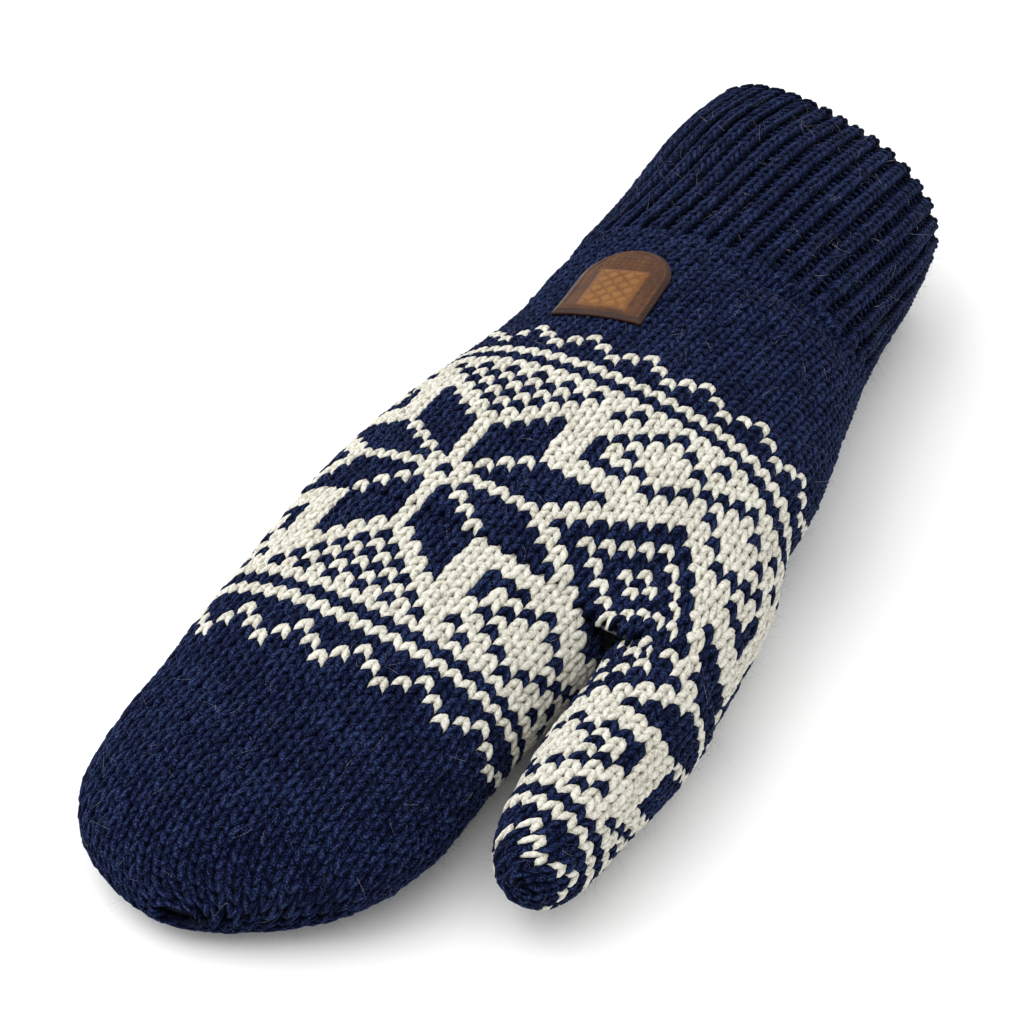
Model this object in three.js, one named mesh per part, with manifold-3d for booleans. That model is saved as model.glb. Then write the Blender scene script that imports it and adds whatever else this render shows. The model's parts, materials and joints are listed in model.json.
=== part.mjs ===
// A lined, colour-knitted mitten for the right hand, lying on its palm.
// Millimetres. +Z is the back of the hand, -Y the fingertips, +Y the cuff, +X the thumb.
// The knit is one continuous fabric on the real mitten. Here it is divided where it folds,
// so that the cuff, wrist, palm, fingers, fingertips and the two thumb joints can each turn.
import * as THREE from "three";
import { mergeVertices } from "three/addons/utils/BufferGeometryUtils.js";
import Module from "manifold-3d";

const wasm = await Module();
wasm.setup();

// ---- driving dimensions ---------------------------------------------------------------
const LENGTH = 290;
const KNIT_THICKNESS = 3.5;
const LINING_THICKNESS = 2.2;
const CLEARANCE = 0.3;
const LINING_OUTSIDE = KNIT_THICKNESS + CLEARANCE;
const LINING_INSIDE = LINING_OUTSIDE + LINING_THICKNESS;
const SQUARENESS = 2.2; // superellipse power of the cross-sections: 2 is an ellipse

// Outline of the hand: distance from the fingertips, half width on the little-finger side,
// half width on the thumb side, half height, and height of the middle.
const HAND_STATIONS = [
  [38, 36.0, 40.0, 15.0, 14.9],
  [60, 38.0, 39.5, 17.3, 17.2],
  [87, 41.0, 39.5, 19.7, 19.5],
  [105, 42.5, 43.5, 21.8, 21.4],
  [125, 41.5, 54.5, 24.0, 23.5],
  [150, 36.5, 59.0, 26.8, 26.1],
  [175, 34.0, 56.0, 26.3, 25.7],
  [195, 35.0, 50.0, 26.3, 26.3],
  [205, 36.5, 48.0, 26.1, 26.3],
  [213, 36.5, 45.5, 25.5, 26.5],
  [240, 40.0, 41.0, 25.5, 25.8],
  [262, 44.0, 39.0, 25.5, 25.7],
  [LENGTH, 46.0, 32.5, 22.5, 23.5],
];
// The closed end of the finger bag: rounder seen from above than seen from the side.
const FINGER_END = { tip: 2.5, full: HAND_STATIONS[0][0], droop: 7.5, widthPower: 2, heightPower: 2.6 };
// Both ends are cut askew: cross-sections lean more and more towards the finger end, where the
// little-finger side is the longer one, and towards the cuff, where it is longer too.
const FINGER_LEAN = { tilt: 0.32, from: 75, to: 0 };
const CUFF_LEAN = { tilt: -0.23, from: 215, to: LENGTH };
const RING_SPACING = 13;
const END_RING_ANGLES = [12, 28, 46, 66, 90]; // where rings cross a rounded end, in degrees
const HAND_SEGMENTS = 32;
const CUFF_OVERRUN = 2; // a hollow runs this far out of the open cuff

// Thumb: middle line from the tip into the palm, with half width and half height.
const THUMB_STATIONS = [
  [58.6, 40.0, 15.6, 9.8, 11.4],
  [57.8, 54.0, 16.6, 10.4, 12.6],
  [57.0, 71.0, 17.6, 12.2, 13.8],
  [57.0, 87.0, 18.0, 13.4, 14.6],
  [56.6, 101.0, 18.4, 13.2, 15.6],
  [48.0, 118.0, 19.4, 19.4, 17.0],
  [43.0, 138.0, 21.5, 19.8, 17.5],
  [31.0, 160.0, 24.5, 15.0, 16.0],
];
const THUMB_END = { length: 16, power: 2 };
const THUMB_RINGS = 9;
const THUMB_SEGMENTS = 20;

// Folds. A gap runs across the fabric at each one: "narrow" keeps the two sides apart at
// the hinge, and the gap widens away from it by the angle that the fold can close.
const WRIST = { y: 207, z: 26, up: 35, down: 35 };
const WRIST_SWAY = { x: 3, y: 224, side: 15 };
const KNUCKLES = { y: 100, z: 9, up: 10, down: 60 };
const FINGER_JOINT = { y: 55, z: 8, up: 0, down: 50 };
const THUMB_ROOT = { x: 61.5, y: 101.5, turn: -7, spread: 35 };
const THUMB_JOINT = { x: 58.4, y: 73, z: 10, turn: -7, down: 45 };
const NARROW = 0.5;
const REACH = 160; // blocks and gaps reach this far, right through the mitten

const LINING_END = 196;
const HEM_THREAD = { start: 197, end: 198.2, outside: LINING_OUTSIDE + 0.1, inside: 5.2 };

// The label: the middle of its straight end, its turn in degrees, and its outline, which is
// straight-sided and then a half circle towards the cuff.
const LABEL = { x: -4, y: 169.5, turn: 9, width: 22.5, straight: 17, thickness: 1.5, arcSteps: 12 };
const GLUE_THICKNESS = 0.3;
const GLUE_MARGIN = 1; // the glue stops this far inside the label's edge

// The yarn that is drawn through the last stitches, inside the end of the fingers and thumb.
const TIP_YARN = { x: 1, y: 8.5, z: 9.5, lean: 18, ring: 3.4, radius: 0.8 };
const THUMB_YARN = { x: 58.4, y: 45.3, z: 15.9, lean: 0, ring: 2.1, radius: 0.7 };
const YARN_SIDES = 6;
const YARN_STEPS = 14;
const LINING_TIP_SETBACK = 3.2; // room for the drawn-in yarn between the knit and the lining

// ---- solids ---------------------------------------------------------------------------
function toSolid(geometry) {
  const bare = geometry.clone();
  bare.deleteAttribute("normal");
  bare.deleteAttribute("uv");
  const merged = mergeVertices(bare, 1e-4);
  return new wasm.Manifold(
    new wasm.Mesh({
      numProp: 3,
      vertProperties: new Float32Array(merged.attributes.position.array),
      triVerts: new Uint32Array(merged.index.array),
    }),
  );
}

function toGeometry(solid) {
  const mesh = solid.getMesh();
  const geometry = new THREE.BufferGeometry();
  geometry.setAttribute("position", new THREE.BufferAttribute(mesh.vertProperties, 3));
  geometry.setIndex(new THREE.BufferAttribute(mesh.triVerts, 1));
  geometry.computeVertexNormals();
  return geometry;
}

// A closed skin over rings of points that run anticlockwise seen from the last ring.
function loft(rings) {
  const around = rings[0].length;
  const points = rings.flat();
  const faces = [];
  for (let row = 0; row + 1 < rings.length; row += 1) {
    for (let i = 0; i < around; i += 1) {
      const next = (i + 1) % around;
      const a = row * around + i;
      const b = row * around + next;
      faces.push(a, b, b + around, a, b + around, a + around);
    }
  }
  const addCap = (row, outward) => {
    const middle = points.length;
    const centre = new THREE.Vector3();
    rings[row].forEach((point) => centre.addScaledVector(point, 1 / around));
    points.push(centre);
    for (let i = 0; i < around; i += 1) {
      const a = row * around + i;
      const b = row * around + ((i + 1) % around);
      faces.push(...(outward ? [a, b, middle] : [b, a, middle]));
    }
  };
  addCap(0, false);
  addCap(rings.length - 1, true);
  const geometry = new THREE.BufferGeometry().setFromPoints(points);
  geometry.setIndex(faces);
  return toSolid(geometry);
}

// One cross-section, in the plane of "side" and +Z.
function crossSection(centre, side, halfWidth, halfHeight, segments) {
  const ring = [];
  for (let i = 0; i < segments; i += 1) {
    const angle = (2 * Math.PI * i) / segments;
    const across = Math.sign(Math.cos(angle)) * Math.abs(Math.cos(angle)) ** (2 / SQUARENESS);
    const upward = Math.sign(Math.sin(angle)) * Math.abs(Math.sin(angle)) ** (2 / SQUARENESS);
    const point = centre.clone().addScaledVector(side, halfWidth * across);
    point.z += halfHeight * upward;
    ring.push(point);
  }
  return ring;
}

// How full a rounded end is, at a distance from its tip.
function endFullness(distance, endLength, power) {
  const t = Math.max(0, 1 - distance / endLength);
  return (1 - t ** power) ** (1 / power);
}

// Distances from a rounded tip: close together at the tip, then evenly to the far end.
function ringDistances(endLength, farEnd, spacing) {
  const near = END_RING_ANGLES.map((deg) => endLength * (1 - Math.cos(THREE.MathUtils.degToRad(deg))));
  const count = Math.round((farEnd - endLength) / spacing);
  const far = [];
  for (let i = 1; i <= count; i += 1) far.push(endLength + ((farEnd - endLength) * i) / count);
  return [...near, ...far];
}

const handOutline = new THREE.CubicInterpolant(
  HAND_STATIONS.map((row) => row[0]),
  HAND_STATIONS.flatMap((row) => row.slice(1)),
  4,
);

// How far a cross-section leans at y: growing evenly from none to its full tilt at the end.
function leanAt(y, { tilt, from, to }) {
  return tilt * THREE.MathUtils.clamp((y - from) / (to - from), 0, 1);
}

// The hand from fingertips to cuff, pulled in by "inset" all round.
function handSolid(inset, tipInset = inset) {
  const rings = [];
  const tip = FINGER_END.tip + tipInset;
  const endLength = FINGER_END.full - tip;
  const farEnd = LENGTH - tip + (inset > 0 ? CUFF_OVERRUN : 0);
  for (const distance of ringDistances(endLength, farEnd, RING_SPACING)) {
    const y = distance + tip;
    const station = THREE.MathUtils.clamp(y, FINGER_END.full, LENGTH);
    const [left, right, high, middle] = handOutline.evaluate(station);
    const wide = endFullness(distance, endLength, FINGER_END.widthPower);
    const tall = endFullness(distance, endLength, FINGER_END.heightPower);
    const droop = FINGER_END.droop * Math.max(0, 1 - y / FINGER_END.full) ** 2;
    const lean = leanAt(y, FINGER_LEAN) + leanAt(y, CUFF_LEAN);
    const across = (right - left) / 2;
    const centre = new THREE.Vector3(across, y + lean * across, middle - droop);
    const side = new THREE.Vector3(-1, -lean, 0);
    const halfWidth = ((right + left) / 2 - inset) * wide;
    rings.push(crossSection(centre, side, halfWidth, (high - inset) * tall, HAND_SEGMENTS));
  }
  return loft(rings);
}

const thumbOutline = new THREE.CubicInterpolant(
  THUMB_STATIONS.map((row) => row[1]),
  THUMB_STATIONS.flatMap((row) => row.slice(3)),
  2,
);

// The thumb from its tip to deep inside the palm, pulled in by "inset".
function thumbSolid(inset, tipInset = inset) {
  const line = new THREE.CatmullRomCurve3(
    THUMB_STATIONS.map(([x, y, z]) => new THREE.Vector3(x, y, z)),
    false,
    "centripetal",
  );
  const lineLength = line.getLength();
  const endLength = THUMB_END.length - tipInset;
  const spacing = lineLength / (THUMB_RINGS + 1);
  const rings = [];
  for (const distance of ringDistances(endLength, lineLength - tipInset, spacing)) {
    const along = (distance + tipInset) / lineLength;
    const centre = line.getPointAt(Math.min(along, 1));
    const heading = line.getTangentAt(Math.min(along, 1));
    const side = new THREE.Vector3(-heading.y, heading.x, 0).normalize();
    const [halfWidth, halfHeight] = thumbOutline.evaluate(centre.y);
    const full = endFullness(distance, endLength, THUMB_END.power);
    rings.push(
      crossSection(centre, side, (halfWidth - inset) * full, (halfHeight - inset) * full, THUMB_SEGMENTS),
    );
  }
  return loft(rings);
}

// A block between two distances from the fingertips.
function slab(start, end, floor = -REACH) {
  const box = new THREE.BoxGeometry(2 * REACH, end - start, 2 * REACH);
  box.translate(0, (start + end) / 2, floor + REACH);
  return toSolid(box);
}

// The gap that lets a fold close: an hourglass outline, pushed through the fabric.
// x runs along the mitten, y across the hinge; lower and upper are the angles in degrees.
function foldGap(lower, upper) {
  const low = NARROW + REACH * Math.tan(THREE.MathUtils.degToRad(lower / 2));
  const high = NARROW + REACH * Math.tan(THREE.MathUtils.degToRad(upper / 2));
  const outline = new THREE.Shape([
    new THREE.Vector2(-NARROW, 0),
    new THREE.Vector2(-low, -REACH),
    new THREE.Vector2(low, -REACH),
    new THREE.Vector2(NARROW, 0),
    new THREE.Vector2(high, REACH),
    new THREE.Vector2(-high, REACH),
  ]);
  const block = new THREE.ExtrudeGeometry(outline, { depth: 2 * REACH, bevelEnabled: false });
  block.translate(0, 0, -REACH);
  return block;
}

// A gap across the hand, hinged about X: the outline's x becomes Y and its y becomes Z.
function crossGap({ y, z, up, down }) {
  const block = foldGap(down, up);
  block.rotateX(Math.PI / 2).rotateZ(Math.PI / 2);
  block.translate(0, y, z);
  return toSolid(block);
}

// A gap across the cuff, hinged about Z, so that the cuff can sway to either side.
function swayGap({ x, y, side }) {
  const block = foldGap(side, side);
  block.rotateZ(Math.PI / 2);
  block.translate(x, y, 0);
  return toSolid(block);
}

// Half of space on the tip side of a fold in the thumb, and the gap of that fold.
function thumbFold({ x, y, z = 0, turn }, block) {
  const front = new THREE.BoxGeometry(2 * REACH, REACH, 2 * REACH);
  front.translate(0, -REACH / 2, 0);
  const place = (geometry) => {
    geometry.rotateZ(THREE.MathUtils.degToRad(-turn));
    geometry.translate(x, y, z);
    return toSolid(geometry);
  };
  return { front: place(front), gap: place(block) };
}

// ---- the fabric -----------------------------------------------------------------------
const wristGap = crossGap(WRIST);
const sideGap = swayGap(WRIST_SWAY);
const knuckleGap = crossGap(KNUCKLES);
const fingerGap = crossGap(FINGER_JOINT);
// The thumb root hinges about Z: the outline's x becomes Y and its lower side faces outward.
const thumbRoot = thumbFold(THUMB_ROOT, foldGap(THUMB_ROOT.spread, 0).rotateZ(Math.PI / 2));
const thumbJoint = thumbFold(
  THUMB_JOINT,
  foldGap(THUMB_JOINT.down, 0).rotateX(Math.PI / 2).rotateZ(Math.PI / 2),
);

// Divides one layer of the mitten, given as solids of the hand and thumb, at the folds.
function divideLayer(hand, thumb, handHollow, thumbHollow) {
  const restingSide = slab(-REACH, 2 * REACH + LENGTH, 0);
  const tube = hand.subtract(handHollow).intersect(restingSide);
  const thumbTube = thumb.subtract(thumbHollow).intersect(restingSide);
  const palm = hand
    .add(thumb.subtract(thumbRoot.front).subtract(thumbRoot.gap))
    .intersect(slab(KNUCKLES.y, WRIST.y))
    .subtract(knuckleGap)
    .subtract(wristGap)
    .subtract(handHollow.add(thumbHollow))
    .intersect(restingSide);
  return {
    cuff: tube.intersect(slab(WRIST_SWAY.y, 2 * LENGTH)).subtract(sideGap),
    wrist: tube.intersect(slab(WRIST.y, WRIST_SWAY.y)).subtract(wristGap).subtract(sideGap),
    palm,
    finger: tube.intersect(slab(FINGER_JOINT.y, KNUCKLES.y)).subtract(knuckleGap).subtract(fingerGap),
    fingertip: tube.intersect(slab(-REACH, FINGER_JOINT.y)).subtract(fingerGap),
    thumb: thumbTube
      .intersect(thumbRoot.front)
      .subtract(thumbRoot.gap)
      .subtract(thumbJoint.front)
      .subtract(thumbJoint.gap),
    thumbTip: thumbTube.intersect(thumbJoint.front).subtract(thumbJoint.gap),
  };
}

const knit = divideLayer(
  handSolid(0),
  thumbSolid(0),
  handSolid(KNIT_THICKNESS),
  thumbSolid(KNIT_THICKNESS),
);
const lining = divideLayer(
  handSolid(LINING_OUTSIDE, LINING_OUTSIDE + LINING_TIP_SETBACK),
  thumbSolid(LINING_OUTSIDE, LINING_OUTSIDE + LINING_TIP_SETBACK),
  handSolid(LINING_INSIDE, LINING_INSIDE + LINING_TIP_SETBACK),
  thumbSolid(LINING_INSIDE, LINING_INSIDE + LINING_TIP_SETBACK),
);
const palmLining = lining.palm.intersect(slab(0, LINING_END));

// ---- small pieces ---------------------------------------------------------------------
function hemThread() {
  const band = handSolid(HEM_THREAD.outside).subtract(handSolid(HEM_THREAD.inside));
  return band.intersect(slab(HEM_THREAD.start, HEM_THREAD.end));
}

// The arched outline of the label, as a tall block over its place on the back of the hand.
function labelBlock(shrink) {
  const half = LABEL.width / 2 - shrink;
  const outline = new THREE.Shape();
  outline.moveTo(-half, shrink);
  outline.lineTo(half, shrink);
  outline.lineTo(half, LABEL.straight);
  outline.absarc(0, LABEL.straight, half, 0, Math.PI, false);
  outline.closePath();
  const shape = { depth: REACH, bevelEnabled: false, curveSegments: LABEL.arcSteps };
  const block = new THREE.ExtrudeGeometry(outline, shape);
  const middleHeight = handOutline.evaluate(LABEL.y)[3];
  block.rotateZ(THREE.MathUtils.degToRad(LABEL.turn));
  block.translate(LABEL.x, LABEL.y, middleHeight);
  return toSolid(block);
}

// A plate that follows the back of the hand, "lift" above the knit.
function plateOnBack(lift, thickness, shrink) {
  const layer = handSolid(-lift - thickness).subtract(handSolid(-lift));
  return layer.intersect(labelBlock(shrink));
}

function drawnYarn({ x, y, z, lean, ring, radius }) {
  const torus = new THREE.TorusGeometry(ring, radius, YARN_SIDES, YARN_STEPS);
  torus.rotateX(Math.PI / 2).rotateZ(THREE.MathUtils.degToRad(lean));
  torus.translate(x, y, z);
  return toSolid(torus);
}

// ---- materials and assembly -----------------------------------------------------------
const navyWool = { color: 0x16203f, roughness: 0.95, metalness: 0 };
const patternWool = { color: 0x8d8b86, roughness: 0.95, metalness: 0 };
const fleece = { color: 0x23262e, roughness: 1, metalness: 0 };
const leather = { color: 0x6b431f, roughness: 0.5, metalness: 0 };
const glue = { color: 0xb9ab8c, roughness: 0.6, metalness: 0 };
const thread = { color: 0x11162b, roughness: 0.8, metalness: 0 };

const labelLift = CLEARANCE + GLUE_THICKNESS + CLEARANCE;
const pieces = [
  ["cuff_rib_knit", knit.cuff, navyWool],
  ["wrist_rib_knit", knit.wrist, navyWool],
  ["palm_knit", knit.palm, patternWool],
  ["finger_knit", knit.finger, patternWool],
  ["fingertip_knit", knit.fingertip, navyWool],
  ["thumb_knit", knit.thumb, patternWool],
  ["thumb_tip_knit", knit.thumbTip, patternWool],
  ["palm_lining", palmLining, fleece],
  ["finger_lining", lining.finger, fleece],
  ["fingertip_lining", lining.fingertip, fleece],
  ["thumb_lining", lining.thumb, fleece],
  ["thumb_tip_lining", lining.thumbTip, fleece],
  ["lining_hem_thread", hemThread(), thread],
  ["leather_label", plateOnBack(labelLift, LABEL.thickness, 0), leather],
  ["label_glue_film", plateOnBack(CLEARANCE, GLUE_THICKNESS, GLUE_MARGIN), glue],
  ["fingertip_closing_yarn", drawnYarn(TIP_YARN), navyWool],
  ["thumb_closing_yarn", drawnYarn(THUMB_YARN), navyWool],
];

const mitten = new THREE.Group();
for (const [name, solid, look] of pieces) {
  const mesh = new THREE.Mesh(toGeometry(solid), new THREE.MeshStandardMaterial(look));
  mesh.name = name;
  mitten.add(mesh);
}

// The frame's origin is under the middle of the mitten, on the surface it rests on.
const box = new THREE.Box3().setFromObject(mitten);
const middle = box.getCenter(new THREE.Vector3());
mitten.position.set(-middle.x, -middle.y, -box.min.z);

export default mitten;
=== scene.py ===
"""A colour-knitted mitten, stitch by stitch, around its CAD frame.

Every knit wall is measured from the CAD and covered with yarn: each stitch is a pair of
yarn legs, laid in rows and columns ("wales"), and its colour comes from the pattern rules
in pattern_is_navy(). Lengths here are millimetres in the CAD frame; meshes are made in metres.
"""
import json
import math
import bmesh
import bpy
import numpy as np
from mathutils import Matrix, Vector
from mathutils.bvhtree import BVHTree


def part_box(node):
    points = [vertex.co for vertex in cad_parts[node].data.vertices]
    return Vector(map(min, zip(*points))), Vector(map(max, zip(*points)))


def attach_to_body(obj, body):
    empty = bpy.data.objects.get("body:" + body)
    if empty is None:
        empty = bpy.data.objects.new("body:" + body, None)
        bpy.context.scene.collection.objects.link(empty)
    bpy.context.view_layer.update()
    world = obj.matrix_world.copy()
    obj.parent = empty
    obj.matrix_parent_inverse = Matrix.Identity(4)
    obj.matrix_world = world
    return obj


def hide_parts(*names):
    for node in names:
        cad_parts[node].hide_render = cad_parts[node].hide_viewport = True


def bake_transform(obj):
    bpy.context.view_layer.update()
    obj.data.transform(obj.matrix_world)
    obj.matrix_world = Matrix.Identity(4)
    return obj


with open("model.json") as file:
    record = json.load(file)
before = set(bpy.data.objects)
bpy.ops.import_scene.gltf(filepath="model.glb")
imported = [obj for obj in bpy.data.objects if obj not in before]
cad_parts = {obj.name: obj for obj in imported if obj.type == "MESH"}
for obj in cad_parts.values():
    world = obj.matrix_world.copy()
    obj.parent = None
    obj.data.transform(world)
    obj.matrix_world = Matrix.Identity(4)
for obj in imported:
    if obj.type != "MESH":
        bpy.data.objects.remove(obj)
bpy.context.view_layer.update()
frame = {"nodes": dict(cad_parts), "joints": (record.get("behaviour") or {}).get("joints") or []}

METRE = 1000.0

# ---- driving dimensions ----------------------------------------------------------------
STITCH_WIDTH = 3.75
ROW_HEIGHT = 2.5
FINGER_ROW_HEIGHT = 2.75  # rows are stretched a little over the fingers
RIB_COUNT = 36
RIB_HEIGHT = 0.45
RIB_DEPTH = 0.9
YARN_RADIUS = 0.98
YARN_SINK = 0.55        # yarn centre line below the measured wall
BACKING_SINK = 1.5      # outside of the knit's backing below the measured wall
BACKING_THICKNESS = 1.6
SECTION_STEP = 1.25
GAP_CHECK_START = 18    # the first sections round off a tip, where steep walls are no gap
SECTION_POINTS = 288
RAYS = 720
RAY_START = 150.0
THUMB_RAY_START = 34.0
FOLD_REACH = 7.0         # the thumb's fold reaches this far up the palm
SEED = 7


def box_low(node):
    return np.array(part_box(node)[0]) * METRE


def box_high(node):
    return np.array(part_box(node)[1]) * METRE


JOINTS = {entry["name"]: entry for entry in frame["joints"]}


def pivot(name):
    return np.array(JOINTS[name]["pos_m"]) * METRE


CROTCH_Y = pivot("thumb_spread")[1]
KNUCKLE_Y = pivot("finger_curl")[1]
FINGER_JOINT_Y = pivot("fingertip_curl")[1]
WRIST_Y = pivot("wrist_bend")[1]
SWAY_Y = pivot("wrist_sway")[1]
# Heights are measured along the middle line, x = MIDDLE_X. Rows lean away from it near both ends.
MIDDLE_X = pivot("finger_curl")[0]
TIP_Y = FINGER_JOINT_Y - 52.5
RIM_Y = WRIST_Y + 83.0
FINGER_LEAN = 0.32
CUFF_LEAN = -0.23
LEAN_LENGTH = 75.0
FINGER_FULL_Y = FINGER_JOINT_Y - 17
TIP_START = 0.1         # the first section lies this far from the tip, the next ones further apart
TIP_FLAT = 0.9
TIP_DROOP = 7.5
TIP_DROOP_LENGTH = 38.0
THUMB_JOINT = pivot("thumb_bend")
THUMB_ROOT = pivot("thumb_spread")
THUMB_TIP_Y = box_low("thumb_tip_knit")[1]

STAR_Y = KNUCKLE_Y + 12.4
STAR_X = MIDDLE_X - 6.6
STAR_DRIFT = 0.2        # the star line leans this far towards the little finger per row
STAR_DRIFT_ROWS = 12
THUMB_STAR_DROP = 7.2   # rows: the pattern sits this much nearer the tip on the thumb
BORDER_ROW = 15
LEAN_ROWS = 14          # rows over which the lean towards the thumb fades out
CREASE_COLUMNS = 1.5    # stitches hidden in the crease beside the thumb
CREASE_BETWEEN = (12, 18)
CREASE_LENGTH = 25.0
THUMB_COLUMN = 24.3     # pattern column on the outer line of the thumb


# ---- the pattern -----------------------------------------------------------------------
def pattern_is_navy(column, row):
    """Colour rule of the knit. Stars repeat every 28 columns, and rows count from a star's middle."""
    column = int(round(column))
    row = int(round(row))
    ax = abs((column + 14) % 28 - 14)
    ar = abs(row)
    if ar > 17:
        return not teeth_are_cream(column, ar)
    if ar > 13:
        return ar in (15, 17)
    if ax == 0 and ar == 0:
        return True
    if 1 <= ax <= 4 and ax + 1 <= ar <= ax + 5:
        return True
    if 1 <= ar <= 4 and ar + 1 <= ax <= ar + 5:
        return True
    if 8 <= ar <= 13 and ax <= ar - 8:
        return (ax + ar) % 2 == 0
    rhombus = (14 - ax) + ar
    if rhombus <= 6:
        return rhombus not in (1, 4)
    if abs(ax - 11) + abs(ar - 10) == 3:
        return True
    return (ax, ar) in ((7, 7), (7, 8), (7, 9), (8, 7), (9, 7), (8, 13), (7, 12), (14, 13))


def teeth_are_cream(column, ar):
    """The toothed edge beyond the last stripe."""
    if ar == 18:
        return column % 4 == 0
    if ar == 19:
        return column % 2 == 1
    return ar == 20 and column % 4 == 2


# ---- measuring the CAD walls -------------------------------------------------------------
def wall_tree(nodes):
    points, faces = [], []
    for name in nodes:
        mesh = frame["nodes"][name].data
        start = len(points)
        points.extend(tuple(v.co * METRE) for v in mesh.vertices)
        faces.extend([start + i for i in p.vertices] for p in mesh.polygons)
    return BVHTree.FromPolygons(points, faces)


def lean(y):
    """How much a row slants: its height changes by this much for every millimetre across."""
    fingers = FINGER_LEAN * np.clip((FINGER_JOINT_Y + 20 - y) / LEAN_LENGTH, 0, 1)
    cuff = CUFF_LEAN * np.clip((y - WRIST_Y - 8) / LEAN_LENGTH, 0, 1)
    return fingers + cuff


def upright(y):
    return 0.0 * y


def in_section(y, slant, across, upward):
    """The point of a slanted section, given its place across and upward."""
    return np.stack([across, y + slant * (across - MIDDLE_X), upward], -1)


def wall_distances(tree, ys, centres, far, slant_of, usable):
    """Distance from a centre line to the outside of a wall, for every height and angle.

    Rays that fall into the gap of a fold are dropped and filled in from the walls beside it.
    """
    angles = np.arange(RAYS) * 2 * math.pi / RAYS
    radius = np.full((len(ys), RAYS), np.nan)
    for i, y in enumerate(ys):
        slant = float(slant_of(y))
        across = centres[i][0] + far * np.cos(angles)
        upward = centres[i][1] + far * np.sin(angles)
        starts = in_section(y, slant, across, upward)
        for j, angle in enumerate(angles):
            inward = -Vector((math.cos(angle), slant * math.cos(angle), math.sin(angle)))
            stretch = inward.length
            hit, normal, _, distance = tree.ray_cast(Vector(starts[j]), inward, far * stretch)
            in_gap = hit is not None and abs(normal.y) > 0.7 and i > GAP_CHECK_START
            if hit is None or in_gap or not usable(y, angle):
                continue
            radius[i, j] = far - distance / stretch
    for j in range(RAYS):
        good = np.isfinite(radius[:, j])
        radius[:, j] = np.interp(ys, ys[good], radius[good, j])
    return angles, radius


def gaussian(sigma, reach):
    steps = np.arange(-reach, reach + 1)
    kernel = np.exp(-0.5 * (steps / sigma) ** 2)
    return kernel / kernel.sum()


def smooth_ring(values, sigma):
    kernel = gaussian(sigma, int(3 * sigma) + 1)
    reach = len(kernel) // 2
    padded = np.concatenate([values[-reach:], values, values[:reach]])
    return np.stack([np.convolve(padded[:, k], kernel, "valid") for k in range(values.shape[1])], 1)


def smooth_rows(values, sigma):
    kernel = gaussian(sigma, int(3 * sigma) + 1)
    reach = len(kernel) // 2
    first = 2 * values[:1] - values[reach:0:-1]
    last = 2 * values[-1:] - values[-2:-reach - 2:-1]
    padded = np.concatenate([first, values, last])
    out = np.zeros_like(values)
    for k, weight in enumerate(kernel):
        out += weight * padded[k:k + len(values)]
    return out


class Skin:
    """A tube of fabric. at(s, y) is the point s millimetres round from its anchor line.

    s grows from the little-finger side over the back of the hand towards the thumb.
    """

    def __init__(self, ys, centres, slant_of, angles, radius, anchor_index, smoothing):
        self.ys = ys
        self.sections = np.zeros((len(ys), SECTION_POINTS, 3))
        self.girth = np.zeros(len(ys))
        for i, y in enumerate(ys):
            across = centres[i][0] + radius[i] * np.cos(angles)
            upward = centres[i][1] + radius[i] * np.sin(angles)
            ring = in_section(y, float(slant_of(y)), across, upward)[::-1]
            ring = smooth_ring(self.resample(ring, 0), smoothing)
            self.sections[i] = self.resample(ring, anchor_index(ring, y))
            self.girth[i] = self.length(self.sections[i])
        self.sections = smooth_rows(self.sections, 3.0)
        self.girth = np.array([self.length(ring) for ring in self.sections])

    def press(self, relief):
        """Moves the skin in or out by relief(s, y)."""
        for i, y in enumerate(self.ys):
            ring = self.sections[i]
            outward = ring - ring.mean(0)
            outward[:, 1] = 0
            outward /= np.linalg.norm(outward, axis=1)[:, None]
            share = np.arange(SECTION_POINTS) / SECTION_POINTS
            s = ((share + 0.5) % 1 - 0.5) * self.girth[i]
            self.sections[i] = ring + outward * relief(s, y)[:, None]

    @staticmethod
    def length(ring):
        return np.linalg.norm(np.roll(ring, -1, 0) - ring, axis=1).sum()

    @staticmethod
    def resample(ring, first):
        ring = np.roll(ring, -first, 0)
        closed = np.vstack([ring, ring[:1]])
        steps = np.linalg.norm(np.diff(closed, axis=0), axis=1)
        along = np.concatenate([[0], np.cumsum(steps)])
        wanted = np.arange(SECTION_POINTS) * along[-1] / SECTION_POINTS
        return np.stack([np.interp(wanted, along, closed[:, k]) for k in range(3)], 1)

    def girth_at(self, y):
        return np.interp(y, self.ys, self.girth)

    def at(self, s, y):
        s, y = np.broadcast_arrays(np.asarray(s, float), np.asarray(y, float))
        place = np.interp(y, self.ys, np.arange(len(self.ys)))
        place = np.minimum(place, len(self.ys) - 1.001)
        row = place.astype(int)
        mix = (place - row)[..., None]
        return (1 - mix) * self.in_row(row, s) + mix * self.in_row(row + 1, s)

    def in_row(self, row, s):
        place = s / self.girth[row] * SECTION_POINTS
        first = np.floor(place).astype(int)
        mix = (place - first)[..., None]
        here = self.sections[row, first % SECTION_POINTS]
        there = self.sections[row, (first + 1) % SECTION_POINTS]
        return (1 - mix) * here + mix * there


def row_heights(skin, start_y, end_y, first_row, spacing):
    """Heights of the rows from start_y to a rounded tip, spaced evenly over the fabric."""
    ys = np.arange(start_y, end_y, -0.05)
    radius = skin.girth_at(ys) / (2 * math.pi)
    steps = np.hypot(np.diff(ys), np.diff(radius))
    along = np.concatenate([[0], np.cumsum(steps)])
    count = int(along[-1] / spacing)
    rows = first_row - np.arange(count + 1)
    return rows, np.interp(np.arange(count + 1) * spacing, along, ys)


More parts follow.
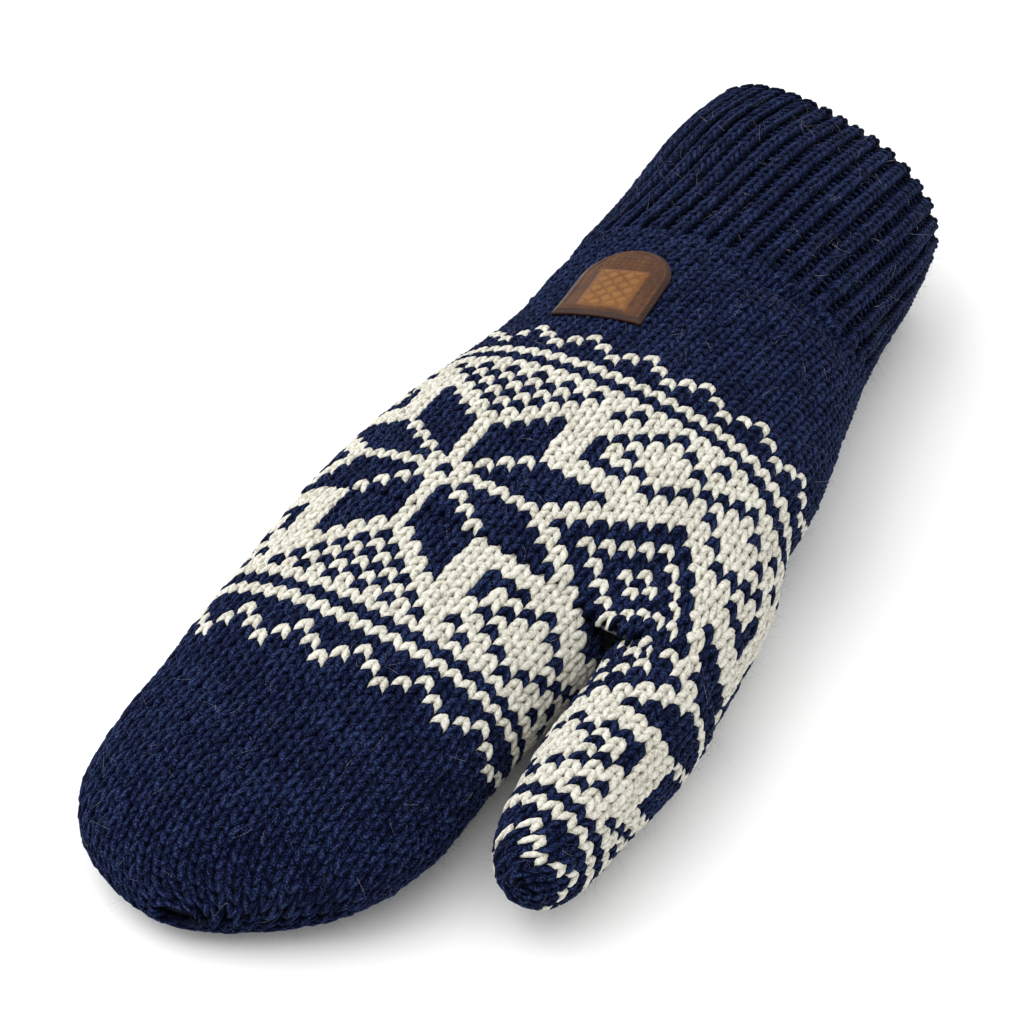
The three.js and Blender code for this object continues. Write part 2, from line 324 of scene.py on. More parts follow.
def star_line_x(y):
    rows = np.clip((STAR_Y - y) / ROW_HEIGHT, 0, STAR_DRIFT_ROWS)
    return STAR_X - STAR_DRIFT * rows


def star_anchor(ring, y):
    on_top = ring[:, 2] > ring[:, 2].mean()
    miss = np.abs(ring[:, 0] - star_line_x(y)) + np.where(on_top, 0, 1e6)
    return int(np.argmin(miss))


def outer_anchor(ring, y):
    middle = ring[:, 2].mean()
    miss = np.abs(ring[:, 2] - middle) + np.where(ring[:, 0] > ring[:, 0].mean(), 0, 1e6)
    return int(np.argmin(miss))


def always(y, angle):
    return True


def always_here(y, s):
    return True


def hand_centre(y):
    """Middle of the hand's section at y, drooping where the finger end rounds off."""
    droop = TIP_DROOP * np.clip((FINGER_FULL_Y - y) / TIP_DROOP_LENGTH, 0, 1) ** 2
    along = [FINGER_FULL_Y, KNUCKLE_Y, KNUCKLE_Y + 50, RIM_Y]
    return MIDDLE_X + 2, np.interp(y, along, [14.9, 20.5, 26, 23.5]) - droop


def heights_from_tip(tip_y, end_y):
    """Section heights, close together where a rounded tip begins."""
    near = tip_y + TIP_START * np.arange(1, 7) ** 2
    return np.concatenate([near, np.arange(near[-1] + SECTION_STEP, end_y, SECTION_STEP)])


def measure_skin(nodes, ys, centre_of, far, slant_of, usable, anchor, smoothing):
    """A skin over CAD walls. Its first sections close the tip, where the CAD ends in a small flat."""
    centres = [centre_of(y) for y in ys]
    angles, radius = wall_distances(wall_tree(nodes), ys, centres, far, slant_of, usable)
    if ys[1] - ys[0] < SECTION_STEP / 2:
        rounding = np.sqrt(np.clip((ys - ys[0] + TIP_START) / TIP_FLAT, 0, 1))
        radius = radius * rounding[:, None]
    return Skin(ys, centres, slant_of, angles, radius, anchor, smoothing)


def make_skins():
    fingers = measure_skin(
        ["finger_knit", "fingertip_knit"], heights_from_tip(TIP_Y, CROTCH_Y + 8),
        hand_centre, RAY_START, lean, always, star_anchor, 3)
    hand = measure_skin(
        ["palm_knit", "wrist_rib_knit", "cuff_rib_knit"],
        np.arange(CROTCH_Y - 5, RIM_Y - 0.2, SECTION_STEP),
        hand_centre, RAY_START, lean, clear_of_thumb, star_anchor, 3)
    thumb = measure_skin(
        ["thumb_knit", "thumb_tip_knit", "palm_knit"], heights_from_tip(THUMB_TIP_Y, CROTCH_Y + 24),
        thumb_centre, THUMB_RAY_START, upright, on_free_thumb, outer_anchor, 4)
    return fingers, hand, thumb


def thumb_centre(y):
    return THUMB_JOINT[0] - 0.1 * (y - THUMB_JOINT[1]), 17.6


def clear_of_thumb(y, angle):
    """Beside the thumb the palm's wall turns in to make a fold; the fabric runs straight on over it."""
    turned = (angle + math.pi) % (2 * math.pi) - math.pi
    return y > CROTCH_Y + FOLD_REACH or not -0.6 < turned < 0.36


def on_free_thumb(y, angle):
    turned = (angle + math.pi) % (2 * math.pi) - math.pi
    return y < CROTCH_Y - 1 or abs(turned) < 1.75


# Creases in the fabric: from and to round the hand, height at both ends, depth and width.
CREASES = [
    (14, 64, WRIST_Y - 3, WRIST_Y + 1, 2.0, 3.0),
    (-48, -16, WRIST_Y - 6, WRIST_Y - 2, 1.2, 3.5),
    (30, 88, WRIST_Y + 6, WRIST_Y + 14, 0.9, 4.0),
    (18, 62, WRIST_Y - 14, WRIST_Y - 9, -1.0, 5.0),
    (-60, 40, FINGER_JOINT_Y - 4, FINGER_JOINT_Y - 8, 0.5, 7.0),
]


def hand_relief(s, y):
    """Creases at the wrist, and the gentle unevenness of soft fabric."""
    out = 0.35 * np.sin(s / 13 + y / 31) * np.sin(y / 17 - s / 41)
    for start, end, start_y, end_y, depth, width in CREASES:
        share = (s - start) / (end - start)
        line = start_y + (end_y - start_y) * share
        window = smoothstep(share / 0.25) * smoothstep((1 - share) / 0.25)
        out = out - depth * window * np.exp(-((y - line) / width) ** 2)
    return out


# ---- yarn --------------------------------------------------------------------------------
# Centre line of one leg of a stitch: across, towards the fingertips, outwards, and thickness.
LEG_PATH = [
    (0.15, -1.75, -0.85, 0.62),
    (0.42, -0.85, 0.10, 0.92),
    (0.86, 0.15, 0.42, 1.00),
    (1.24, 1.10, 0.34, 0.98),
    (1.42, 2.00, -0.30, 0.80),
    (1.20, 2.65, -1.10, 0.55),
]
# Angles round the yarn, closer together on the side that shows.
RING_ANGLES = [-5, 40, 90, 140, 185, 270]


def leg_template(path, mirror):
    path = np.array(path)
    points, faces, details = [], [], []
    count, around = len(path), len(RING_ANGLES)
    centre = path[:, :3]
    heading = np.gradient(centre, axis=0)
    heading /= np.linalg.norm(heading, axis=1)[:, None]
    for i in range(count):
        side = np.cross(heading[i], [0, 0, 1])
        side /= np.linalg.norm(side)
        up = np.cross(side, heading[i])
        for j, angle in enumerate(np.radians(RING_ANGLES)):
            offset = math.cos(angle) * side + math.sin(angle) * up
            points.append(centre[i] + offset * path[i, 3] * YARN_RADIUS)
            details.append((j / around, i / (count - 1)))
    for i in range(count - 1):
        for j in range(around):
            k = (j + 1) % around
            faces.append((i * around + j, i * around + k, (i + 1) * around + k, (i + 1) * around + j))
    faces.append(tuple(range(around))[::-1])
    faces.append(tuple((count - 1) * around + j for j in range(around)))
    points = np.array(points)
    if mirror:
        points[:, 0] *= -1
        faces = [face[::-1] for face in faces]
    return points, faces, np.array(details)


class Yarn:
    """Collects stitches and makes one mesh of them."""

    def __init__(self):
        self.batches = []

    def add(self, template, origin, across, along, outward, tone):
        """One copy of a template per row of origin, stretched by the three directions."""
        points, faces, details = template
        placed = (
            origin[:, None, :]
            + points[None, :, 0:1] * across[:, None, :]
            + points[None, :, 1:2] * along[:, None, :]
            + points[None, :, 2:3] * outward[:, None, :]
        )
        tones = np.repeat(tone, len(points))
        uv = np.tile(details, (len(origin), 1))
        self.batches.append((placed.reshape(-1, 3), faces, len(points), len(origin), tones, uv))

    def build(self, name, material):
        return mesh_from_batches(name, self.batches, material)


def mesh_from_batches(name, batches, material):
    verts = np.concatenate([batch[0] for batch in batches]) / METRE
    loops, starts, totals = [], [], []
    loop_count, vert_start = 0, 0
    for placed, faces, size, copies, _, _ in batches:
        sizes = np.array([len(face) for face in faces])
        flat = np.concatenate([np.array(face) for face in faces])
        shifts = vert_start + np.arange(copies) * size
        loops.append((flat[None, :] + shifts[:, None]).ravel())
        all_sizes = np.tile(sizes, copies)
        ends = np.cumsum(all_sizes) + loop_count
        starts.append(ends - all_sizes)
        totals.append(all_sizes)
        loop_count = int(ends[-1])
        vert_start += size * copies
    loops = np.concatenate(loops).astype(np.int32)
    starts = np.concatenate(starts).astype(np.int32)
    mesh = bpy.data.meshes.new(name)
    mesh.vertices.add(len(verts))
    mesh.vertices.foreach_set("co", verts.astype(np.float32).ravel())
    mesh.loops.add(len(loops))
    mesh.loops.foreach_set("vertex_index", loops)
    mesh.polygons.add(len(starts))
    mesh.polygons.foreach_set("loop_start", starts)
    mesh.polygons.foreach_set("use_smooth", np.ones(len(starts), dtype=bool))
    mesh.update(calc_edges=True)
    tone = mesh.attributes.new("tone", "FLOAT", "POINT")
    tone.data.foreach_set("value", np.concatenate([batch[4] for batch in batches]).astype(np.float32))
    uv = np.concatenate([batch[5] for batch in batches])
    bake_layer(mesh, uv, batches, loops)
    strand = mesh.uv_layers.new(name="strand")
    strand.data.foreach_set("uv", uv[loops].astype(np.float32).ravel())
    mesh.materials.append(material)
    piece = bpy.data.objects.new(name, mesh)
    bpy.context.scene.collection.objects.link(piece)
    return piece


def bake_layer(mesh, uv, batches, loops):
    """Unwraps every copy into its own cell of a grid, in a layer named OFBake."""
    copies = sum(batch[3] for batch in batches)
    cells = math.ceil(math.sqrt(copies))
    cell = []
    first = 0
    for batch in batches:
        cell.append(np.repeat(np.arange(batch[3]) + first, batch[2]))
        first += batch[3]
    cell = np.concatenate(cell)
    corner = np.stack([cell % cells, cell // cells], 1)
    spread = (corner + 0.06 + 0.88 * uv) / cells
    layer = mesh.uv_layers.new(name="OFBake")
    layer.data.foreach_set("uv", spread[loops].astype(np.float32).ravel())


MOST_STRETCH = 1.5


def stitch_frames(skin, s, row, height_of, sink):
    """Origin and directions of stitches, where height_of(row, s) is the row's height."""
    half = 0.5
    reach = STITCH_WIDTH / 2
    middle = skin.at(s, height_of(row, s))
    across = (skin.at(s + reach, height_of(row, s + reach)) - skin.at(s - reach, height_of(row, s - reach)))
    along = skin.at(s, height_of(row - half, s)) - skin.at(s, height_of(row + half, s))
    outward = np.cross(along, across)
    outward /= np.linalg.norm(outward, axis=1)[:, None]
    across = within(across / (2 * reach), MOST_STRETCH)
    along = within(along / (2 * half * ROW_HEIGHT), MOST_STRETCH)
    return middle - outward * sink, across, along, outward


def within(vectors, longest):
    """Shortens vectors that are longer than longest: a stitch only stretches so far."""
    length = np.linalg.norm(vectors, axis=1)[:, None]
    return vectors * np.minimum(1, longest / length)


def row_shift(row, s):
    """Rows lean towards the fingertips over the thumb, and level out again at the wrist."""
    fade = np.clip((BORDER_ROW + 2 - row) / LEAN_ROWS, 0, 1)
    return -THUMB_STAR_DROP * thumb_share(s) * fade


def thumb_share(s):
    return smoothstep((s - 52) / 30) * (1 - smoothstep((s - 105) / 30))


def smoothstep(t):
    t = np.clip(t, 0, 1)
    return t * t * (3 - 2 * t)


def hand_row_y(row, s):
    return STAR_Y + ROW_HEIGHT * (row + row_shift(row, s))


def lay_plain(skin, rows, height_of, place_of, keep, piece_of):
    """Covers a skin with stitches. keep(y, s) says which belong here, piece_of(y) names their piece."""
    for row in rows:
        y = float(height_of(row, np.zeros(1))[0])
        half = skin.girth_at(y) / 2
        columns = np.arange(-60, 90)
        s = place_of(columns, y)
        inside = (s > -half) & (s <= half)
        columns, s = columns[inside], s[inside]
        heights = height_of(row, s)
        for column, place, y in zip(columns, s, heights):
            if keep(y, place):
                navy = pattern_is_navy(column, row)
                piece_of(y, navy).append((place, row))


def along_fingers(column, y):
    return column * STITCH_WIDTH


def along_hand(column, y):
    """The crease beside the thumb swallows some width, and eases out up the hand."""
    hidden = CREASE_COLUMNS * (1 - smoothstep((y - CROTCH_Y) / CREASE_LENGTH))
    inner, outer = CREASE_BETWEEN
    squeezed = inner + (column - inner) * (outer - inner) / (outer - inner + hidden)
    beyond = np.where(column < outer + hidden, squeezed, column - hidden)
    return np.where(column < inner, column, beyond) * STITCH_WIDTH


def along_thumb(column, y):
    return (column - THUMB_COLUMN) * STITCH_WIDTH


def random_tones(count, rng):
    return rng.uniform(0, 1, count)


def jitter(count, rng, size):
    return rng.normal(0, size, (count, 3))


LEFT_LEG = leg_template(LEG_PATH, False)
RIGHT_LEG = leg_template(LEG_PATH, True)


def knit_piece(name, skin, stitches, height_of, material, rng, plump=1.0):
    s = np.array([stitch[0] for stitch in stitches])
    row = np.array([stitch[1] for stitch in stitches])
    origin, across, along, outward = stitch_frames(skin, s, row, height_of, YARN_SINK)
    yarn = Yarn()
    for leg in (LEFT_LEG, RIGHT_LEG):
        swell = rng.uniform(0.94, 1.06, (len(s), 1)) * plump
        lift = rng.normal(0, 0.08, (len(s), 1))
        nudge = jitter(len(s), rng, 0.07)
        yarn.add(leg, origin + outward * lift + nudge, across * swell, along, outward * swell,
                 random_tones(len(s), rng))
    piece = yarn.build(name, material)
    return piece


# ---- ribs --------------------------------------------------------------------------------
RIB_PATH = [
    (0.12, -1.75, -0.55, 0.60),
    (0.42, -0.85, 0.10, 0.88),
    (0.84, 0.15, 0.26, 0.94),
    (1.20, 1.10, 0.08, 0.94),
    (1.38, 2.00, -0.45, 0.82),
    (1.28, 2.65, -1.15, 0.60),
]
RIM_PATH = [
    (0.82, 2.4, 0.05, 0.66),
    (0.82, 0.9, 0.40, 0.94),
    (0.82, -0.5, 0.10, 1.00),
    (0.82, -1.2, -1.10, 1.00),
    (0.82, -1.1, -2.40, 1.00),
    (0.82, -0.3, -3.60, 0.96),
    (0.82, 1.3, -4.10, 0.86),
    (0.82, 2.6, -3.60, 0.62),
]
# The yarn that crosses the valley between two ribs.
PURL_PATH = [
    (-1.30, 0.10, -1.30, 0.62),
    (-0.75, 0.45, -0.45, 0.84),
    (0.00, 0.60, -0.15, 0.90),
    (0.75, 0.45, -0.45, 0.84),
    (1.30, 0.10, -1.30, 0.62),
]
PURL_SINK = 1.0
CUFF_WALL = 4.3
RIB_START_Y = WRIST_Y + 4.0
RIB_ROW = 2.6


def rib_fade(y):
    return smoothstep((y - RIB_START_Y + 3) / 7)


def rib_frames(skin, rib, y, inside):
    girth = skin.girth_at(y)
    offset = 0.5 if inside else 0.0
    s = (rib + offset) / RIB_COUNT * girth
    reach = STITCH_WIDTH / 2
    across = skin.at(s + reach, y) - skin.at(s - reach, y)
    along = skin.at(s, y - RIB_ROW / 2) - skin.at(s, y + RIB_ROW / 2)
    outward = np.cross(along, across)
    outward /= np.linalg.norm(outward, axis=1)[:, None]
    across = across / STITCH_WIDTH
    along = along / ROW_HEIGHT
    rise = (RIB_HEIGHT * rib_fade(y) - YARN_SINK)[:, None]
    origin = skin.at(s, y) + outward * rise
    if inside:
        origin = skin.at(s, y) - outward * (CUFF_WALL - YARN_SINK)
        return origin, -across, along, -outward
    return origin, across, along, outward


def rib_piece(name, skin, start_y, end_y, inside, material, rng):
    ys = np.arange(start_y, end_y, RIB_ROW)
    rib, y = [grid.ravel() for grid in np.meshgrid(np.arange(RIB_COUNT), ys)]
    origin, across, along, outward = rib_frames(skin, rib, y.astype(float), inside)
    yarn = Yarn()
    for mirror in (False, True):
        swell = rng.uniform(0.95, 1.06, (len(rib), 1))
        place = origin + jitter(len(rib), rng, 0.07)
        yarn.add(leg_template(RIB_PATH, mirror), place, across * swell, along, outward * swell,
                 random_tones(len(rib), rng))
    origin, across, along, outward = rib_frames(skin, rib + 0.5, y.astype(float), inside)
    valley = origin - outward * PURL_SINK + jitter(len(rib), rng, 0.1)
    yarn.add(leg_template(PURL_PATH, False), valley, across, along, outward, random_tones(len(rib), rng))
    return yarn.build(name, material)


def rim_piece(name, skin, material, rng):
    yarn = Yarn()
    rim_y = RIM_Y - 1.8
    for inside in (False, True):
        rib = np.arange(RIB_COUNT)
        offset = 0.5 if inside else 0.0
        y = np.full(RIB_COUNT, rim_y - (0.9 if inside else 0.0))
        origin, across, along, outward = rib_frames(skin, rib + offset, y, False)
        lower = (0.9 if inside else 0.0)
        for mirror in (False, True):
            place = origin - outward * lower + jitter(RIB_COUNT, rng, 0.08)
            yarn.add(leg_template(RIM_PATH, mirror), place, across, along, outward,
                     random_tones(RIB_COUNT, rng))
    return yarn.build(name, material)


# ---- sheets: the knit's backing and the lining ---------------------------------------------
SHEET_COLUMNS = 216
THUMB_TUCK = 2.5


def sheet_surface(skin, ys, sink, ripple):
    """Rings of points below a skin; ripple(s_fraction, y) adds to the depth."""
    rings = []
    for y in ys:
        girth = skin.girth_at(y)
        s = np.arange(SHEET_COLUMNS) * girth / SHEET_COLUMNS
        reach = 1.5
        across = skin.at(s + reach, y) - skin.at(s - reach, y)
        along = skin.at(s, y - reach) - skin.at(s, y + reach)
        outward = np.cross(along, across)
        outward /= np.linalg.norm(outward, axis=1)[:, None]
        depth = sink - ripple(s / girth, y)
        rings.append(skin.at(s, y) - outward * np.reshape(depth, (-1, 1)))
    return np.array(rings)


def shell_piece(name, skin, start_y, end_y, step, outer_sink, thickness, material, ripple, tip=None):
    """A closed sheet between two heights; tip closes its low end at a point."""
    count = max(2, int(math.ceil((end_y - start_y) / step)) + 1)
    ys = np.linspace(start_y, end_y, count)
    outer = sheet_surface(skin, ys, outer_sink, ripple)
    inner = sheet_surface(skin, ys, outer_sink + thickness, ripple)
    around = SHEET_COLUMNS
    rings = np.concatenate([outer, inner[::-1]])
    points = rings.reshape(-1, 3)
    faces = []
    total = len(rings)
    closed_end = tip is not None
    for i in range(total if not closed_end else total - 1):
        k = (i + 1) % total
        for j in range(around):
            n = (j + 1) % around
            faces.append((i * around + j, i * around + n, k * around + n, k * around + j))
    if closed_end:
        outer_tip = len(points)
        points = np.vstack([points, tip, tip + np.array([0, thickness, 0])])
        for j in range(around):
            n = (j + 1) % around
            faces.append((outer_tip, n, j))
            last = (total - 1) * around
            faces.append((outer_tip + 1, last + j, last + n))
    mesh = bpy.data.meshes.new(name)
    mesh.from_pydata((points / METRE).tolist(), [], faces)
    for polygon in mesh.polygons:
        polygon.use_smooth = True
    mesh.update()
    mesh.materials.append(material)
    piece = bpy.data.objects.new(name, mesh)
    bpy.context.scene.collection.objects.link(piece)
    face_out(piece)
    return piece


def face_out(piece):
    bm = bmesh.new()
    bm.from_mesh(piece.data)
    bmesh.ops.recalc_face_normals(bm, faces=bm.faces)
    bm.to_mesh(piece.data)
    bm.free()


def knit_ripple(fraction, y):
    return np.zeros_like(fraction)


def tucked_ripple(fraction, y):
    """The thumb's backing runs on a little way inside the hand's, so the fold stays closed."""
    return knit_ripple(fraction, y) - THUMB_TUCK * smoothstep((y - CROTCH_Y + 3) / 4)


def rib_ripple(fraction, y):
    wave = np.cos(2 * math.pi * RIB_COUNT * fraction)
    middle = (RIB_HEIGHT - RIB_DEPTH) / 2
    height = (RIB_HEIGHT + RIB_DEPTH) / 2
    return rib_fade(y) * (middle + height * wave)


def fleece_ripple(fraction, y):
    turn = 2 * math.pi * fraction
    return 0.35 * np.sin(5 * turn + y / 9) + 0.25 * np.sin(11 * turn - y / 5)


# ---- label -------------------------------------------------------------------------------
LABEL_WIDTH = 22.5
LABEL_STRAIGHT = 17.0
LABEL_TURN = 9.0
LABEL_LENGTH = LABEL_STRAIGHT + LABEL_WIDTH / 2
LABEL_ACROSS = 76
LABEL_ALONG = 92
LABEL_THICKNESS = 1.5
PANEL_HALF_WIDTH = 6.2
PANEL_START = 2.6
PANEL_END = 18.6
STUD_SPACING = 1.5


def label_place(across, along):
    """Label coordinates to the CAD frame: across and along start at the middle of its straight end."""
    turn = math.radians(LABEL_TURN)
    half = LABEL_WIDTH / 2
    x = box_high("leather_label")[0] - half * math.cos(turn)
    y = box_low("leather_label")[1] + half * math.sin(turn)
    return (x + across * math.cos(turn) - along * math.sin(turn),
            y + across * math.sin(turn) + along * math.cos(turn))


def label_bed():
    """Smooth height of the CAD label's top: a cubic through rays cast down on it."""
    tree = wall_tree(["leather_label"])
    terms, heights = [], []
    for across in np.linspace(-10, 10, 11):
        for along in np.linspace(1, LABEL_LENGTH - 2, 13):
            x, y = label_place(across, along)
            hit, _, _, _ = tree.ray_cast(Vector((x, y, 100)), Vector((0, 0, -1)), 200)
            if hit is not None:
                terms.append(cubic_terms(across, along))
                heights.append(hit.z)
    fit = np.linalg.lstsq(np.array(terms), np.array(heights), rcond=None)[0]
    return lambda across, along: np.tensordot(fit, cubic_terms(across, along), 1)


def cubic_terms(across, along):
    a, b = across / 10, along / 10
    return np.array([a * 0 + 1, a, b, a * a, a * b, b * b, a ** 3, a * a * b, a * b * b, b ** 3])


def label_half_width(along):
    beyond = np.clip((along - LABEL_STRAIGHT) / (LABEL_WIDTH / 2), 0, 1)
    return LABEL_WIDTH / 2 * np.sqrt(1 - beyond ** 2)


def label_relief(across, along):
    """Height of the tooling above the plain leather, and how pale the leather is there."""
    beyond = np.maximum(along - LABEL_STRAIGHT, 0)
    from_rim = LABEL_WIDTH / 2 - np.hypot(across, beyond)
    edge = np.minimum(from_rim, along)
    bevel = -0.75 * (1 - smoothstep(edge / 1.3))
    groove = -0.22 * np.exp(-((edge - 2.0) / 0.35) ** 2)
    from_panel = np.minimum(PANEL_HALF_WIDTH - np.abs(across),
                            np.minimum(along - PANEL_START, PANEL_END - along))
    panel = smoothstep(from_panel / 0.5 + 0.5)
    lattice = np.abs(np.sin(math.pi * (across + along) / 4)) * np.abs(np.sin(math.pi * (across - along) / 4))
    tooling = 0.28 * panel * smoothstep(1.6 * lattice) * smoothstep(from_panel / 0.8 - 0.6)
    studs = np.clip(np.cos(2 * math.pi * across / STUD_SPACING), 0, 1)
    studs = studs * np.clip(np.cos(2 * math.pi * along / STUD_SPACING), 0, 1)
    stud_area = smoothstep((along - PANEL_END - 0.4) / 0.6) * smoothstep((from_rim - 2.6) / 0.6)
    height = bevel + groove + 0.25 * panel + tooling + 0.3 * studs * stud_area
    pale = 0.55 * panel + 0.35 * tooling / 0.28 + 0.25 * studs * stud_area
    return height, np.clip(pale - 0.5 * (edge < 1.0), -0.5, 1)


def label_piece(material):
    bed = label_bed()
    along = np.linspace(0, LABEL_LENGTH - 0.02, LABEL_ALONG)
    share = np.linspace(-1, 1, LABEL_ACROSS)
    across = share[None, :] * label_half_width(along)[:, None]
    along = np.repeat(along[:, None], LABEL_ACROSS, 1)
    relief, pale = label_relief(across, along)
    x, y = label_place(across, along)
    top = np.stack([x, y, bed(across, along) + relief], -1).reshape(-1, 3)
    bottom = np.stack([x, y, bed(across, along) - LABEL_THICKNESS], -1).reshape(-1, 3)
    faces = []
    below = len(top)
    for i in range(LABEL_ALONG - 1):
        for j in range(LABEL_ACROSS - 1):
            a = i * LABEL_ACROSS + j
            b = a + LABEL_ACROSS
            faces.append((a, a + 1, b + 1, b))
            faces.append((below + a, below + b, below + b + 1, below + a + 1))
    rim = list(range(LABEL_ACROSS))
    rim += [i * LABEL_ACROSS + LABEL_ACROSS - 1 for i in range(1, LABEL_ALONG)]
    rim += [(LABEL_ALONG - 1) * LABEL_ACROSS + j for j in range(LABEL_ACROSS - 2, -1, -1)]
    rim += [i * LABEL_ACROSS for i in range(LABEL_ALONG - 2, 0, -1)]
    for here, there in zip(rim, rim[1:] + rim[:1]):
        faces.append((there, here, below + here, below + there))
    tones = np.concatenate([pale.ravel(), np.full(below, -0.5)])
    return sheet_mesh("leather_patch", np.vstack([top, bottom]), faces, tones, material)


def sheet_mesh(name, points, faces, tones, material):
    mesh = bpy.data.meshes.new(name)
    mesh.from_pydata((points / METRE).tolist(), [], faces)
    mesh.polygons.foreach_set("use_smooth", np.ones(len(faces), dtype=bool))
    mesh.attributes.new("tone", "FLOAT", "POINT").data.foreach_set("value", tones.astype(np.float32))
    mesh.update()
    mesh.materials.append(material)
    piece = bpy.data.objects.new(name, mesh)
    bpy.context.scene.collection.objects.link(piece)
    return piece


# ---- cords: the hem thread and the drawn-in yarns --------------------------------------------
CORD_SIDES = 8


def cord_piece(name, paths, radius, material):
    """Closed loops of round cord through the points of each path."""
    points, faces = [], []
    for path in paths:
        path = np.array(path)
        heading = np.roll(path, -1, 0) - np.roll(path, 1, 0)
        heading /= np.linalg.norm(heading, axis=1)[:, None]
        outward = path - path.mean(0)
        outward -= (outward * heading).sum(1)[:, None] * heading
        outward /= np.linalg.norm(outward, axis=1)[:, None]
        side = np.cross(heading, outward)
        start = len(points)
        for j in range(len(path)):
            for k in range(CORD_SIDES):
                angle = 2 * math.pi * k / CORD_SIDES
                points.append(path[j] + radius * (math.cos(angle) * outward[j] + math.sin(angle) * side[j]))
        for j in range(len(path)):
            n = (j + 1) % len(path)
            for k in range(CORD_SIDES):
                m = (k + 1) % CORD_SIDES
                faces.append((start + j * CORD_SIDES + k, start + n * CORD_SIDES + k,
                              start + n * CORD_SIDES + m, start + j * CORD_SIDES + m))
    points = np.array(points)
    piece = sheet_mesh(name, points, faces, np.full(len(points), 0.4), material)
    face_out(piece)
    return piece


def node_ring(node, turns, wobble, points, slant, size):
    """Two strands wound round each other along a ring-shaped CAD node, at a share of its size."""
    low, high = box_low(node), box_high(node)
    middle, reach = (low + high) / 2, (high - low) / 2
    ring = size * (min(reach[0] / math.cos(math.atan(slant)), reach[2]) - 0.8)
    paths = []
    for strand in (0, math.pi):
        angle = np.linspace(0, 2 * math.pi, points, endpoint=False)
        twist = turns * angle + strand
        radius = ring + wobble * np.cos(twist)
        x = middle[0] + radius * np.cos(angle)
        y = middle[1] + slant * radius * np.cos(angle) + wobble * np.sin(twist)
        paths.append(np.stack([x, y, middle[2] + radius * np.sin(angle)], 1))
    return paths


def hem_path(skin):
    """Overlock stitches: a thread that swings across the lining's raw edge."""
    low, high = box_low("lining_hem_thread"), box_high("lining_hem_thread")
    middle = (low[1] + high[1]) / 2
    swings = 64
    count = swings * 8
    share = np.arange(count) / count
    wave = np.sin(2 * math.pi * swings * share)
    y = middle + 0.45 * wave
    girth = skin.girth_at(middle)
    depth = 4.55 + 0.3 * np.cos(2 * math.pi * swings * share)
    s = share * girth
    reach = 1.5
    across = skin.at(s + reach, y) - skin.at(s - reach, y)
    along = skin.at(s, y - reach) - skin.at(s, y + reach)
    outward = np.cross(along, across)
    outward /= np.linalg.norm(outward, axis=1)[:, None]
    return skin.at(s, y) - outward * depth[:, None]


# ---- loose fibres ----------------------------------------------------------------------------
FIBRE_RADIUS = 0.02
FIBRE_KNOTS = 5
FIBRE_BEND = 1.3


def fibre_piece(name, skin, low_y, high_y, count, material, rng, rise=0.0):
    """Loose wool fibres: short bent hairs, three-sided, that stand off the knit."""
    y = rng.uniform(low_y, high_y, count)
    s = rng.uniform(-0.5, 0.5, count) * skin.girth_at(y)
    origin, across, along, outward = skin_axes(skin, s, y)
    origin = origin + outward * rise
    heading = outward * rng.uniform(0.1, 0.9, (count, 1))
    heading += across * rng.normal(0, 0.9, (count, 1)) + along * rng.normal(0, 0.9, (count, 1))
    heading /= np.linalg.norm(heading, axis=1)[:, None]
    curl = np.cross(heading, rng.normal(0, 1, (count, 3)))
    curl /= np.linalg.norm(curl, axis=1)[:, None]
    length = rng.uniform(1.5, 6.0, (count, 1))
    bend = rng.normal(0, FIBRE_BEND, (count, 1))
    rings = []
    for knot in range(FIBRE_KNOTS):
        t = knot / (FIBRE_KNOTS - 1)
        centre = origin + length * (heading * t + curl * bend * t * t * 0.5)
        thickness = FIBRE_RADIUS * (1 - 0.8 * t)
        side = np.cross(heading, curl)
        for corner in range(3):
            angle = 2 * math.pi * corner / 3
            rings.append(centre + thickness * (math.cos(angle) * curl + math.sin(angle) * side))
    points = np.stack(rings, 1)
    faces = [(0, 2, 1)]
    for knot in range(FIBRE_KNOTS - 1):
        for corner in range(3):
            n = (corner + 1) % 3
            a, b = 3 * knot + corner, 3 * knot + n
            faces.append((a, b, b + 3, a + 3))
    last = 3 * (FIBRE_KNOTS - 1)
    faces.append((last, last + 1, last + 2))
    size = 3 * FIBRE_KNOTS
    uv = np.array([((i % 3) / 3, (i // 3) / (FIBRE_KNOTS - 1)) for i in range(size)])
    tones = np.repeat(rng.uniform(0, 1, count), size)
    batch = (points.reshape(-1, 3), faces, size, count, tones, np.tile(uv, (count, 1)))
    return mesh_from_batches(name, [batch], material)


def skin_axes(skin, s, y):
    reach = 1.5
    across = skin.at(s + reach, y) - skin.at(s - reach, y)
    along = skin.at(s, y - reach) - skin.at(s, y + reach)
    across /= np.linalg.norm(across, axis=1)[:, None]
    along /= np.linalg.norm(along, axis=1)[:, None]
    outward = np.cross(along, across)
    outward /= np.linalg.norm(outward, axis=1)[:, None]
    return skin.at(s, y), across, along, outward


PLY_TURNS = 1.6
# Where the painted highlight on a leg lies, and how far round it reaches before it turns to painted shade.
RIDGE_AROUND = 1 / 3     # the share of the way round a leg where its top lies
RIDGE_REACH = 0.30


# ---- materials ---------------------------------------------------------------------------
def new_material(name):
    material = bpy.data.materials.new(name)
    material.use_nodes = True
    tree = material.node_tree
    tree.nodes.clear()
    output = tree.nodes.new("ShaderNodeOutputMaterial")
    shader = tree.nodes.new("ShaderNodeBsdfPrincipled")
    tree.links.new(shader.outputs["BSDF"], output.inputs["Surface"])
    return material, tree, shader


